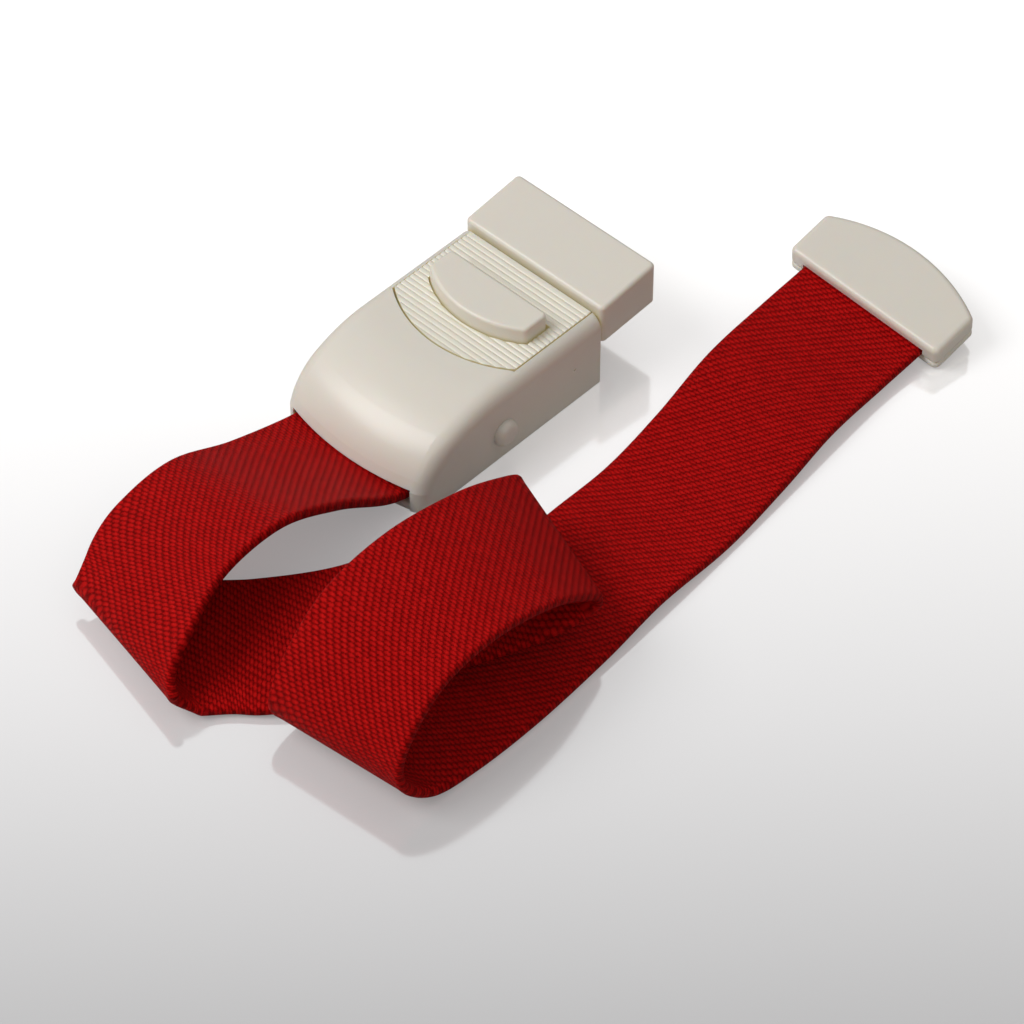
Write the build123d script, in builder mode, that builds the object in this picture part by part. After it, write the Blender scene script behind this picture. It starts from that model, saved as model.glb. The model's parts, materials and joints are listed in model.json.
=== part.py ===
from build123d import *
import os
from math import cos, radians, sin

# Quick-release blood-draw tourniquet: a moulded clamp buckle, its plug and a
# folded run of elastic webbing that ends in a D-shaped pull tab.
# Millimetres. Origin on the housing's underside, +X towards the tail of the
# buckle (the plug end), +Z up. Everything rests on z = 0.

os.makedirs("parts", exist_ok=True)

# ---------------------------------------------------------------- dimensions
# Housing
HOUSING_LENGTH = 42.9
HOUSING_WIDTH = 30.6
HOUSING_HEIGHT = 14.5
TAIL_X = 21.7
WALL = 1.9
ROOF = 1.8
NOSE_RADIUS = 50.0      # plan radius of the nose
CROWN_START_X = -4.0    # the roof is flat behind this
SHOULDER = (6.3, 2.6)   # back from the nose and down from the roof
BROW = (0.8, 8.3)       # where the rounded nose ends above the lip
NOSE_FOOT = 4.2         # height of the nose's upright foot
LIP_HEIGHT = 4.5        # underside of the nose lip, over the strap
SIDE_ROUND = 3.0        # rounding of the roof and nose into the sides
TAIL_ROUND = 0.4

# Webbing
STRAP_WIDTH = 25.0
STRAP_THICK = 1.6

# Base plate and inner frame
BASE_THICK = 1.0
BASE_WIDE_LENGTH = 34.8 # behind the mouth the plate fills the whole inside
FRAME_BOTTOM = 3.6
FRAME_TOP = 4.6
SIDE_GUIDE = 0.58       # thickness of the tabs and legs beside the strap

# Clamp axle
AXLE_X = -0.7
AXLE_Z = 5.3
AXLE_RADIUS = 1.2
AXLE_HEAD_RADIUS = 2.35
AXLE_HEAD_HEIGHT = 1.5
RUNNING_GAP = 0.05

# Release lever
LEVER_HALF = 13.2
LEVER_REAR = 21.3
LEVER_FRONT = -0.5      # apex of the curved front edge
LEVER_CORNER = 3.9      # where the curved front edge meets the sides
LEVER_UNDER = 12.5
RIB_PITCH = 1.0
RIB_RADIUS = 0.8
RIB_COUNT = 23
LEVER_PIVOT_X = 5.5
LEVER_PIVOT_Z = 10.5
TRUNNION_RADIUS = 1.0
TRUNNION_END = 14.4
SIDE_GAP = 0.2
FRONT_GAP = 0.35
RIB_END_ROUND = 0.9

# Thumb button
BUTTON_TOP = 17.4
BUTTON_FLANGE_BOTTOM = 11.6
BUTTON_FLANGE_TOP = 12.4
BUTTON_STEM_BOTTOM = 9.45
BUTTON_REAR = 14.2
BUTTON_FRONT = 5.8
BUTTON_END_X = 9.2
BUTTON_HALF = 10.6
BUTTON_CORNER = 0.9
BUTTON_EDGE = 0.55
BUTTON_GAP = 0.25
BUTTON_STEM_X = 8.75
BUTTON_STEM = (2.5, 6.0)

# Plug
PLUG_FRONT = 22.0
PLUG_REAR = 34.5
PLUG_HALF = 15.1
PLUG_BOTTOM = 8.3
PLUG_TOP = 15.7         # height of the front edge of its top
PLUG_WALL = 1.6
PLUG_CORNER = 0.9
PLUG_EDGE = 0.7
TONGUE_TOP = 9.2
PRONG_TIP = 11.0
PRONG_CLEAR = 0.3       # between a prong and the pocket over it in the button
ANCHOR_X = 29.8
ANCHOR_Z = 11.0
ANCHOR_RADIUS = 1.25

PLUG_RISE = 1.5         # the top of the plug slopes up away from the housing
PLUG_UNDER_RISE = 0.8
PLUG_POCKET_TOP = 14.3
STRAP_SLOT_X = 27.6
PRONG_Y = 9.4
PRONG_WIDTH = 3.8

# Mouth, snaps, frame, clamp and springs
MOUTH_HALF = 12.9
NOSE_SWEEP = 50
SNAP_XS = (-9.0, 12.5)
SNAP_LENGTH = 3.0
SNAP_HOOK_Z = 3.7
SNAP_HOOK_HEIGHT = 0.9
SNAP_HOOK_REACH = 13.9
GATE_MARK = (15.5, 7.1)
FRAME_FRONT = 4.2
FRAME_REAR = 20.6
FRAME_LEG_XS = (7.0, 18.0)
FRAME_LEG_LENGTH = 3.0
SPRING_SEAT = 0.9       # height of the studs that hold the springs
CLAMP_NOSE_X = -5.9
CLAMP_TOOTH_Z = 3.05
CLAMP_HUB_RADIUS = 2.4
TOOTH_PITCH = 0.8
ANVIL_X = -4.0
ANVIL_LENGTH = 5.2
ANVIL_HALF = 11.8
ANVIL_THICK = 0.6
CLAMP_HALF = 12.6
CLAMP_ARM_X = 10.6
CLAMP_ARM_TOP = 8.8
CLAMP_ARM_HALF = 4.5
AXLE_CAP_DEPTH = 0.8
CLAMP_SPRING_X = 8.5
CLAMP_SPRING_Y = 2.6
CLAMP_SPRING_RADIUS = 1.35
CLAMP_WIRE = 0.15
CLAMP_TURNS = 4
LEVER_SPRING_X = 17.6
LEVER_SPRING_RADIUS = 1.75
LEVER_WIRE = 0.2
LEVER_TURNS = 6
SPRING_GAP = 0.05       # at both ends of a spring
CHEEK_THICK = 1.2
CHEEK_FRONT = 3.9
CHEEK_BOTTOM = 9.4
HOOK_X = 15.5
HOOK_LENGTH = 2.0
HOOK_FOOT = 1.0
HOOK_CATCH = (1.0, 1.6)
HOOK_BOTTOM = 6.3
HOOK_INNER = 9.5

# Pull tab on the free end, tilted up by the curl of the strap
TIP_ORIGIN = (60.0, -37.3, 1.65)
TIP_TILT = 10.0
TIP_BANK = 5.8          # the far side lies higher than the near side
TIP_HALF = 15.6
TIP_SIDE = 9.2
TIP_LENGTH = 13.5
TIP_THICK = 5.0
TIP_CORNER = 1.2
TIP_EDGE = 1.0
TIP_LOWER_EDGE = 0.5
TIP_LOWER = 1.15
TIP_SLOT_TOP = 3.15
TIP_SLOT_END = 9.8
TIP_PIN_X = 5.0
TIP_PIN_Y = 8.0
TIP_PIN_RADIUS = 1.1
TIP_PIN_LOW = 0.4
TIP_PIN_HIGH = 4.1

NOSE_X = TAIL_X - HOUSING_LENGTH
HALF_WIDTH = HOUSING_WIDTH / 2
INNER_HALF = HALF_WIDTH - WALL

# Path of the webbing's centre line, from the buckle's tail round to the pull
# tab: x, y, z, then the heading and the bank, in degrees, of the straight line
# across the webbing at that place. In a fold that line is slanted.
STRAP_PATH = [
    (20.3, 0.0, 2.0, 180, 0),       # in the channel under the plug
    (2.0, 0.0, 2.0, 180, 0),
    (-10.0, 0.0, 2.2, 180, 0),      # under the clamp's teeth
    (-21.0, 0.2, 3.4, 180, 0),      # out under the nose lip
    (-33.0, 1.0, 8.3, 181, 9),
    (-45.0, 1.4, 13.1, 181, 9.5),   # over the first hump
    (-56.9, 0.9, 12.5, 175.5, 9),
    (-66.0, -1.4, 9.4, 171.5, 6.5),
    (-70.9, -3.4, 5.0, 168.5, 2.5),  # first turn, on the ground
    (-68.0, -6.4, 1.8, 167, -1),
    (-61.8, -11.6, 1.8, 159, -4),
    (-54.8, -18.4, 2.2, 150, -4),
    (-45.0, -26.2, 3.5, 146, -3),   # slips between the two layers of the loop
    (-34.0, -33.0, 6.0, 153, -6),
    (-24.0, -38.5, 8.3, 160, -9),
    (-18.0, -40.5, 10.0, 164, -11),
    (-15.9, -40.9, 11.8, 165, -11),  # raised fold
    (-18.0, -41.0, 14.0, 166, -10),
    (-27.0, -40.8, 18.6, 171, -7),
    (-40.0, -40.3, 21.0, 176, -5),  # top of the loop
    (-52.0, -40.2, 19.2, 180, -3),
    (-61.0, -40.9, 12.8, 183.5, 0),
    (-64.1, -41.8, 6.6, 186, 0),
    (-59.8, -43.2, 1.9, 186, 0),    # second turn, on the ground
    (-51.5, -44.4, 0.9, 182.5, 0),
    (-38.0, -44.8, 0.9, 180, 0),
    (-22.0, -44.0, 1.2, 181, 0),
    (-8.0, -42.8, 1.8, 182, 0),
    (8.0, -42.0, 0.9, 182, 0),      # where the free end starts to lift
    (22.0, -40.5, 1.6, 183, -1),
    (36.0, -38.7, 3.1, 183, -4),
    (50.0, -37.7, 3.1, 181, -5.5),
    (60.0, -37.5, 3.75, 180, -5.8),  # into the pull tab
    (68.8, -37.5, 5.3, 180, -5.8),
]
LIFT_STATION = 28
SECTIONS_PER_SPAN = 4


# ---------------------------------------------------------------- strap path
def on_curve(rows, t):
    """A point at t along a smooth curve through the rows, one span per row."""
    i = min(int(t), len(rows) - 2)
    u = t - i
    p1, p2 = rows[i], rows[i + 1]
    p0 = rows[i - 1] if i > 0 else p1 * 2 - p2
    p3 = rows[i + 2] if i + 2 < len(rows) else p2 * 2 - p1
    linear = (p2 - p0) * u
    square = (p0 * 2 - p1 * 5 + p2 * 4 - p3) * (u * u)
    cube = (p1 * 3 - p0 - p2 * 3 + p3) * (u * u * u)
    return (p1 * 2 + linear + square + cube) * 0.5


def cross_line(row):
    """The direction of the straight line across the strap at one row."""
    heading, bank = radians(row[3]), radians(row[4])
    return Vector(-sin(heading) * cos(bank), cos(heading) * cos(bank), sin(bank))


def strap_section(t):
    """The plane that cuts the strap along its cross line at t, and the cut's length."""
    points = [Vector(*row[:3]) for row in STRAP_PATH]
    lines = [cross_line(row) for row in STRAP_PATH]
    step = 0.02
    last = len(points) - 1
    forward = (on_curve(points, min(t + step, last)) - on_curve(points, max(t - step, 0))).normalized()
    across = on_curve(lines, t).normalized()
    normal = forward.cross(across)
    slant = normal.length
    plane = Plane(origin=on_curve(points, t), x_dir=across, z_dir=across.cross(normal / slant))
    return plane, STRAP_WIDTH / slant


def strap_stops(start, end):
    """Evenly spaced stations from start to end."""
    count = max(2, round((end - start) * SECTIONS_PER_SPAN))
    return [start + (end - start) * k / count for k in range(count + 1)]


# ---------------------------------------------------------------- housing
def nose_profile(inset):
    """Side view of the housing in front of the tail, inset from the outside."""
    top = HOUSING_HEIGHT - inset
    front = NOSE_X + inset
    rear = TAIL_X - 2
    with BuildLine() as line:
        shoulder = (front + SHOULDER[0], top - SHOULDER[1])
        crown = TangentArc((CROWN_START_X, top), shoulder, tangent=(-1, 0))
        bend = TangentArc(shoulder, (front + BROW[0], top - BROW[1]), tangent=crown % 1)
        Line(bend @ 1, (front, NOSE_FOOT - inset))
        Line((front, NOSE_FOOT - inset), (front, 0))
        Line((front, 0), (rear, 0))
        Line((rear, 0), (rear, top))
        Line((rear, top), (CROWN_START_X, top))
    return line.line


def lever_outline(gap_front, gap_side, rear):
    """Plan outline of the release lever, or of the opening round it."""
    half = LEVER_HALF + gap_side
    with BuildLine() as line:
        ThreePointArc(
            (LEVER_CORNER - gap_front, half),
            (LEVER_FRONT - gap_front, 0),
            (LEVER_CORNER - gap_front, -half),
        )
        Line((LEVER_CORNER - gap_front, -half), (rear, -half))
        Line((rear, -half), (rear, half))
        Line((rear, half), (LEVER_CORNER - gap_front, half))
    return line.line


def button_outline():
    """Plan outline of the crescent thumb button."""
    with BuildLine() as line:
        ThreePointArc((BUTTON_END_X, BUTTON_HALF), (BUTTON_FRONT, 0), (BUTTON_END_X, -BUTTON_HALF))
        Line((BUTTON_END_X, -BUTTON_HALF), (BUTTON_REAR, -BUTTON_HALF))
        Line((BUTTON_REAR, -BUTTON_HALF), (BUTTON_REAR, BUTTON_HALF))
        Line((BUTTON_REAR, BUTTON_HALF), (BUTTON_END_X, BUTTON_HALF))
    return line.line


def tip_outline():
    """Plan outline of the D-shaped pull tab, straight edge towards the strap."""
    with BuildLine() as line:
        Line((0, TIP_HALF), (0, -TIP_HALF))
        Line((0, -TIP_HALF), (TIP_SIDE, -TIP_HALF))
        ThreePointArc((TIP_SIDE, -TIP_HALF), (TIP_LENGTH, 0), (TIP_SIDE, TIP_HALF))
        Line((TIP_SIDE, TIP_HALF), (0, TIP_HALF))
    return line.line


tip_forward = Vector(cos(radians(TIP_TILT)), 0, sin(radians(TIP_TILT)))
tip_across = Vector(0, cos(radians(TIP_BANK)), sin(radians(TIP_BANK)))
tip_plane = Plane(origin=TIP_ORIGIN, x_dir=tip_forward, z_dir=tip_forward.cross(tip_across))
nose_axis = Axis((NOSE_X + NOSE_RADIUS, 0, 0), (0, 0, 1))

# The space inside the housing: roof and nose wall follow the outside.
with BuildPart() as cavity:
    with BuildSketch(Plane.XZ):
        with BuildLine():
            add(nose_profile(ROOF))
        make_face()
    revolve(axis=nose_axis, revolution_arc=NOSE_SWEEP)
    mirror(about=Plane.XZ)
    with BuildSketch(Plane.XY):
        with Locations((TAIL_X / 2, 0)):
            Rectangle(TAIL_X + 2, HOUSING_WIDTH)
    extrude(amount=HOUSING_HEIGHT - ROOF)
    with BuildSketch(Plane.XY):
        Rectangle(HOUSING_LENGTH + 8, 2 * INNER_HALF)
    extrude(amount=HOUSING_HEIGHT, mode=Mode.INTERSECT)

with BuildPart() as housing_shell:
    with BuildSketch(Plane.XZ):
        with BuildLine():
            add(nose_profile(0))
        make_face()
    revolve(axis=nose_axis, revolution_arc=NOSE_SWEEP)
    mirror(about=Plane.XZ)
    with BuildSketch(Plane.XY):
        with Locations((TAIL_X, 0)):
            Rectangle(TAIL_X - 3, HOUSING_WIDTH, align=(Align.MAX, Align.CENTER))
    extrude(amount=HOUSING_HEIGHT)
    with BuildSketch(Plane.XY):
        with Locations((TAIL_X, 0)):
            Rectangle(HOUSING_LENGTH, HOUSING_WIDTH, align=(Align.MAX, Align.CENTER))
    extrude(amount=HOUSING_HEIGHT + 1, mode=Mode.INTERSECT)
    side_edges = housing_shell.edges().filter_by(lambda e: abs(abs(e.center().Y) - HALF_WIDTH) < 0.01)
    upper_edges = side_edges.filter_by(lambda e: e.center().Z > 0.1)
    fillet(upper_edges.filter_by(lambda e: e.center().X < TAIL_X - 0.1), SIDE_ROUND)
    tail_edges = housing_shell.edges().filter_by(lambda e: abs(e.center().X - TAIL_X) < 0.01)
    fillet(tail_edges.filter_by(lambda e: e.center().Z > 0.1), TAIL_ROUND)
    add(cavity.part, mode=Mode.SUBTRACT)
    # mouth under the nose lip, where the strap comes out
    with BuildSketch(Plane.XY):
        with Locations((NOSE_X, 0)):
            Rectangle(16, 2 * MOUTH_HALF)
    extrude(amount=LIP_HEIGHT, mode=Mode.SUBTRACT)
    # opening in the roof for the release lever
    with BuildSketch(Plane.XY.offset(LEVER_PIVOT_Z)):
        with BuildLine():
            add(lever_outline(FRONT_GAP, SIDE_GAP, TAIL_X + 1))
        make_face()
    extrude(amount=HOUSING_HEIGHT, mode=Mode.SUBTRACT)
    # axle hole, through both sides
    with BuildSketch(Plane.XZ):
        with Locations((AXLE_X, AXLE_Z)):
            Circle(AXLE_RADIUS + RUNNING_GAP)
    extrude(amount=HOUSING_WIDTH, both=True, mode=Mode.SUBTRACT)
    # blind sockets for the lever's trunnions
    with BuildSketch(Plane.XZ):
        with Locations((LEVER_PIVOT_X, LEVER_PIVOT_Z)):
            Circle(TRUNNION_RADIUS + RUNNING_GAP)
    extrude(amount=TRUNNION_END + 0.1, both=True, mode=Mode.SUBTRACT)
    # pockets for the base plate's snap hooks
    with Locations(*[(x, 0, SNAP_HOOK_Z) for x in SNAP_XS]):
        Box(SNAP_LENGTH + 0.4, 2 * (SNAP_HOOK_REACH + 0.1), SNAP_HOOK_HEIGHT + 0.3, mode=Mode.SUBTRACT)
    # small gate mark left by the mould on one side
    with BuildSketch(Plane.XZ.offset(HALF_WIDTH)):
        with Locations(GATE_MARK):
            Circle(0.3)
    extrude(amount=-0.25, mode=Mode.SUBTRACT)
housing_shell.part.label = "housing_shell"
export_step(housing_shell.part, "parts/housing_shell.step")

# ---------------------------------------------------------------- base plate
with BuildPart() as base_plate:
    with BuildSketch():
        with Locations((TAIL_X, 0)):
            Rectangle(HOUSING_LENGTH, 2 * MOUTH_HALF - 0.3, align=(Align.MAX, Align.CENTER))
        with Locations((NOSE_X + NOSE_RADIUS, 0)):
            Circle(NOSE_RADIUS - 0.2, mode=Mode.INTERSECT)
        with Locations((TAIL_X - 0.1, 0)):
            Rectangle(BASE_WIDE_LENGTH, 2 * INNER_HALF - 0.3, align=(Align.MAX, Align.CENTER))
    extrude(amount=BASE_THICK)
    top_edges = base_plate.edges().filter_by(lambda e: e.center().Z > BASE_THICK / 2)
    fillet(top_edges.filter_by(lambda e: e.center().X < NOSE_X + 2), BASE_THICK * 0.4)
    # snap tabs beside the strap, each with a hook that points outwards
    tab_y = INNER_HALF - 0.1 - SIDE_GUIDE / 2
    with Locations(*[(x, side * tab_y, BASE_THICK) for x in SNAP_XS for side in (-1, 1)]):
        Box(SNAP_LENGTH, SIDE_GUIDE, SNAP_HOOK_Z - BASE_THICK + SNAP_HOOK_HEIGHT / 2,
            align=(Align.CENTER, Align.CENTER, Align.MIN))
    hook_width = SNAP_HOOK_REACH - INNER_HALF + 0.1
    hook_y = SNAP_HOOK_REACH - hook_width / 2
    with Locations(*[(x, side * hook_y, SNAP_HOOK_Z) for x in SNAP_XS for side in (-1, 1)]):
        Box(SNAP_LENGTH, hook_width, SNAP_HOOK_HEIGHT)
    # seat for the anvil
    with BuildSketch(Plane.XY.offset(BASE_THICK)):
        with Locations((ANVIL_X, 0)):
            Rectangle(ANVIL_LENGTH + 0.1, 2 * ANVIL_HALF + 0.1)
    extrude(amount=-ANVIL_THICK, mode=Mode.SUBTRACT)
base_plate.part.label = "base_plate"
export_step(base_plate.part, "parts/base_plate.step")

# Serrated strip under the clamp's teeth.
with BuildPart() as anvil_strip:
    with BuildSketch(Plane.XZ):
        with Locations((ANVIL_X, BASE_THICK - ANVIL_THICK)):
            Rectangle(ANVIL_LENGTH, ANVIL_THICK, align=(Align.CENTER, Align.MIN))
        with Locations(*[(ANVIL_X + TOOTH_PITCH * k, BASE_THICK) for k in range(-2, 3)]):
            Rectangle(0.4, 0.4, rotation=45, mode=Mode.SUBTRACT)
    extrude(amount=ANVIL_HALF, both=True)
anvil_strip.part.label = "anvil_strip"
export_step(anvil_strip.part, "parts/anvil_strip.step")

# ---------------------------------------------------------------- inner frame
# A bridge over the strap channel that carries the springs and the plug tongue.
with BuildPart() as inner_frame:
    with BuildSketch(Plane.XY.offset(FRAME_BOTTOM)):
        with Locations((FRAME_FRONT, 0)):
            Rectangle(FRAME_REAR - FRAME_FRONT, 2 * INNER_HALF - 0.2, align=(Align.MIN, Align.CENTER))
    extrude(amount=FRAME_TOP - FRAME_BOTTOM)
    # room for the base plate's rear snap tabs
    with Locations((SNAP_XS[1], 0, FRAME_BOTTOM)):
        Box(SNAP_LENGTH + 0.4, HOUSING_WIDTH, 3, mode=Mode.SUBTRACT)
    with Locations((SNAP_XS[1], 0, FRAME_BOTTOM)):
        Box(SNAP_LENGTH + 0.6, 2 * (INNER_HALF - SIDE_GUIDE - 0.2), FRAME_TOP - FRAME_BOTTOM,
            align=(Align.CENTER, Align.CENTER, Align.MIN))
    leg_y = INNER_HALF - 0.1 - SIDE_GUIDE / 2
    with Locations(*[(x, side * leg_y, BASE_THICK) for x in FRAME_LEG_XS for side in (-1, 1)]):
        Box(FRAME_LEG_LENGTH, SIDE_GUIDE, FRAME_TOP - BASE_THICK,
            align=(Align.CENTER, Align.CENTER, Align.MIN))
    with BuildSketch(Plane.XY.offset(FRAME_TOP)):
        with Locations((LEVER_SPRING_X, 0)):
            Circle(LEVER_SPRING_RADIUS - 0.8)
        with Locations(*[(CLAMP_SPRING_X, side * CLAMP_SPRING_Y) for side in (-1, 1)]):
            Circle(CLAMP_SPRING_RADIUS - 0.6)
    extrude(amount=SPRING_SEAT)
inner_frame.part.label = "inner_frame"
export_step(inner_frame.part, "parts/inner_frame.step")

# ---------------------------------------------------------------- clamp
with BuildPart() as axle_pin:
    with BuildSketch(Plane.XZ.offset(-HALF_WIDTH - AXLE_CAP_DEPTH)):
        with Locations((AXLE_X, AXLE_Z)):
            Circle(AXLE_RADIUS)
    extrude(amount=2 * HALF_WIDTH + AXLE_CAP_DEPTH)
    with BuildSketch(Plane.XZ.offset(HALF_WIDTH)):
        with Locations((AXLE_X, AXLE_Z)):
            Circle(AXLE_HEAD_RADIUS)
    extrude(amount=AXLE_HEAD_HEIGHT)
    fillet(axle_pin.edges().sort_by(Axis.Y)[0], AXLE_HEAD_HEIGHT * 0.85)
axle_pin.part.label = "axle_pin"
export_step(axle_pin.part, "parts/axle_pin.step")

with BuildPart() as axle_cap:
    with BuildSketch(Plane.XZ.offset(-HALF_WIDTH)):
        with Locations((AXLE_X, AXLE_Z)):
            Circle(AXLE_HEAD_RADIUS)
    extrude(amount=-AXLE_HEAD_HEIGHT)
    fillet(axle_cap.edges().sort_by(Axis.Y)[-1], AXLE_HEAD_HEIGHT * 0.85)
    with BuildSketch(Plane.XZ.offset(-HALF_WIDTH)):
        with Locations((AXLE_X, AXLE_Z)):
            Circle(AXLE_RADIUS + 0.01)
    extrude(amount=-(AXLE_CAP_DEPTH + 0.01), mode=Mode.SUBTRACT)
axle_cap.part.label = "axle_cap"
export_step(axle_cap.part, "parts/axle_cap.step")

with BuildPart() as clamp_cam:
    with BuildSketch(Plane.XZ):
        with BuildLine():
            Polyline(
                (AXLE_X, CLAMP_TOOTH_Z),
                (CLAMP_NOSE_X, CLAMP_TOOTH_Z),
                (CLAMP_NOSE_X, CLAMP_TOOTH_Z + 1.6),
                (CLAMP_NOSE_X + 2.8, AXLE_Z + 2.1),
                (AXLE_X, AXLE_Z + CLAMP_HUB_RADIUS),
                (AXLE_X, CLAMP_TOOTH_Z),
            )
        make_face()
        with Locations((AXLE_X, AXLE_Z)):
            Circle(CLAMP_HUB_RADIUS)
        with Locations(*[(CLAMP_NOSE_X + TOOTH_PITCH * k, CLAMP_TOOTH_Z) for k in range(1, 5)]):
            Rectangle(TOOTH_PITCH * 0.7, TOOTH_PITCH * 0.7, rotation=45, mode=Mode.SUBTRACT)
    extrude(amount=CLAMP_HALF, both=True)
    with BuildSketch(Plane.XZ):
        with BuildLine():
            Polyline(
                (AXLE_X, AXLE_Z + CLAMP_HUB_RADIUS - 1),
                (AXLE_X + 1.8, AXLE_Z + 0.8),
                (CLAMP_ARM_X - 7, CLAMP_ARM_TOP - 1),
                (CLAMP_ARM_X, CLAMP_ARM_TOP - 1),
                (CLAMP_ARM_X, CLAMP_ARM_TOP),
                (CLAMP_ARM_X - 8, CLAMP_ARM_TOP),
                (AXLE_X, AXLE_Z + CLAMP_HUB_RADIUS),
                (AXLE_X, AXLE_Z + CLAMP_HUB_RADIUS - 1),
            )
        make_face()
    extrude(amount=CLAMP_ARM_HALF, both=True)
    with BuildSketch(Plane.XZ):
        with Locations((AXLE_X, AXLE_Z)):
            Circle(AXLE_RADIUS + RUNNING_GAP)
    extrude(amount=HOUSING_WIDTH, both=True, mode=Mode.SUBTRACT)
clamp_cam.part.label = "clamp_cam"
export_step(clamp_cam.part, "parts/clamp_cam.step")

# ---------------------------------------------------------------- springs
def coil_path(height, radius, turns, centre):
    """The centre line of a compression spring standing on centre."""
    return Helix(pitch=height / turns, height=height, radius=radius, center=centre)


lever_spring_height = LEVER_UNDER - FRAME_TOP - 2 * (LEVER_WIRE + SPRING_GAP)
with BuildPart() as lever_spring:
    with BuildLine():
        lever_coil = coil_path(
            lever_spring_height, LEVER_SPRING_RADIUS, LEVER_TURNS,
            (LEVER_SPRING_X, 0, FRAME_TOP + LEVER_WIRE + SPRING_GAP),
        )
    with BuildSketch(Plane(origin=lever_coil @ 0, z_dir=lever_coil % 0)):
        Circle(LEVER_WIRE)
    sweep(is_frenet=True)
lever_spring.part.label = "lever_spring"
export_step(lever_spring.part, "parts/lever_spring.step")

clamp_spring_height = CLAMP_ARM_TOP - 1 - FRAME_TOP - 2 * (CLAMP_WIRE + SPRING_GAP)
with BuildPart() as clamp_springs:
    with BuildLine():
        clamp_coil = coil_path(
            clamp_spring_height, CLAMP_SPRING_RADIUS, CLAMP_TURNS,
            (CLAMP_SPRING_X, CLAMP_SPRING_Y, FRAME_TOP + CLAMP_WIRE + SPRING_GAP),
        )
    with BuildSketch(Plane(origin=clamp_coil @ 0, z_dir=clamp_coil % 0)):
        Circle(CLAMP_WIRE)
    sweep(is_frenet=True)
    mirror(about=Plane.XZ)
clamp_springs.part.label = "clamp_springs"
export_step(clamp_springs.part, "parts/clamp_springs.step")

# ---------------------------------------------------------------- lever
with BuildPart() as release_lever:
    # ribbed plate: a row of rounded ribs across the width
    rib_base = HOUSING_HEIGHT - RIB_RADIUS
    with BuildSketch(Plane.XZ):
        with Locations(((LEVER_REAR + LEVER_FRONT) / 2, 0)):
            with Locations((0, (LEVER_UNDER + rib_base) / 2)):
                Rectangle(LEVER_REAR - LEVER_FRONT + 1, rib_base - LEVER_UNDER)
        with Locations(*[(LEVER_REAR - RIB_PITCH * (k + 0.5), rib_base) for k in range(RIB_COUNT)]):
            Circle(RIB_RADIUS)
        with Locations((LEVER_REAR, LEVER_UNDER)):
            Rectangle(0.4, HOUSING_HEIGHT - LEVER_UNDER, align=(Align.MAX, Align.MIN))
    extrude(amount=LEVER_HALF, both=True)
    with BuildSketch(Plane.XY.offset(LEVER_UNDER)):
        with BuildLine():
            add(lever_outline(0, 0, LEVER_REAR))
        make_face()
    extrude(amount=HOUSING_HEIGHT, mode=Mode.INTERSECT)
    # the ribs' ends are rounded off at both sides
    with BuildSketch(Plane.YZ):
        with Locations((0, LEVER_UNDER)):
            Rectangle(2 * LEVER_HALF, HOUSING_HEIGHT - LEVER_UNDER, align=(Align.CENTER, Align.MIN))
        top_corners = vertices().filter_by(lambda v: v.Z > LEVER_UNDER + 0.1)
        fillet(top_corners, RIB_END_ROUND)
    extrude(amount=HOUSING_LENGTH, both=True, mode=Mode.INTERSECT)
    # cheeks, trunnions and latch hooks
    with Locations(*[(CHEEK_FRONT, side * (LEVER_HALF - CHEEK_THICK / 2), CHEEK_BOTTOM) for side in (-1, 1)]):
        Box(LEVER_REAR - 0.5 - CHEEK_FRONT, CHEEK_THICK, LEVER_UNDER - CHEEK_BOTTOM,
            align=(Align.MIN, Align.CENTER, Align.MIN))
    for side in (-1, 1):
        with BuildSketch(Plane.XZ.offset(side * (LEVER_HALF - 0.2))):
            with Locations((LEVER_PIVOT_X, LEVER_PIVOT_Z)):
                Circle(TRUNNION_RADIUS)
        extrude(amount=side * (TRUNNION_END - LEVER_HALF + 0.2))
    with Locations(*[(HOOK_X, side * (LEVER_HALF - CHEEK_THICK / 2), HOOK_BOTTOM) for side in (-1, 1)]):
        Box(HOOK_LENGTH, CHEEK_THICK, CHEEK_BOTTOM - HOOK_BOTTOM,
            align=(Align.CENTER, Align.CENTER, Align.MIN))
    foot_y = (LEVER_HALF + HOOK_INNER) / 2
    with Locations(*[(HOOK_X, side * foot_y, HOOK_BOTTOM) for side in (-1, 1)]):
        Box(HOOK_LENGTH, LEVER_HALF - HOOK_INNER, HOOK_FOOT, align=(Align.CENTER, Align.CENTER, Align.MIN))
    catch_y = HOOK_INNER + HOOK_CATCH[1] / 2
    with Locations(*[(HOOK_X, side * catch_y, HOOK_BOTTOM) for side in (-1, 1)]):
        Box(*HOOK_CATCH, PLUG_BOTTOM - 0.1 - HOOK_BOTTOM, align=(Align.CENTER, Align.CENTER, Align.MIN))
    # opening for the thumb button
    with BuildSketch(Plane.XY.offset(LEVER_UNDER - 0.5)):
        with BuildLine():
            add(button_outline())
        make_face()
        offset(amount=BUTTON_GAP, kind=Kind.ARC)
    extrude(amount=HOUSING_HEIGHT, mode=Mode.SUBTRACT)
    # seat for the lever spring
    with BuildSketch(Plane.XY.offset(LEVER_UNDER)):
        with Locations((LEVER_SPRING_X, 0)):
            Circle(LEVER_SPRING_RADIUS - 0.8)
    extrude(amount=-SPRING_SEAT)
release_lever.part.label = "release_lever"
export_step(release_lever.part, "parts/release_lever.step")

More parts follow.
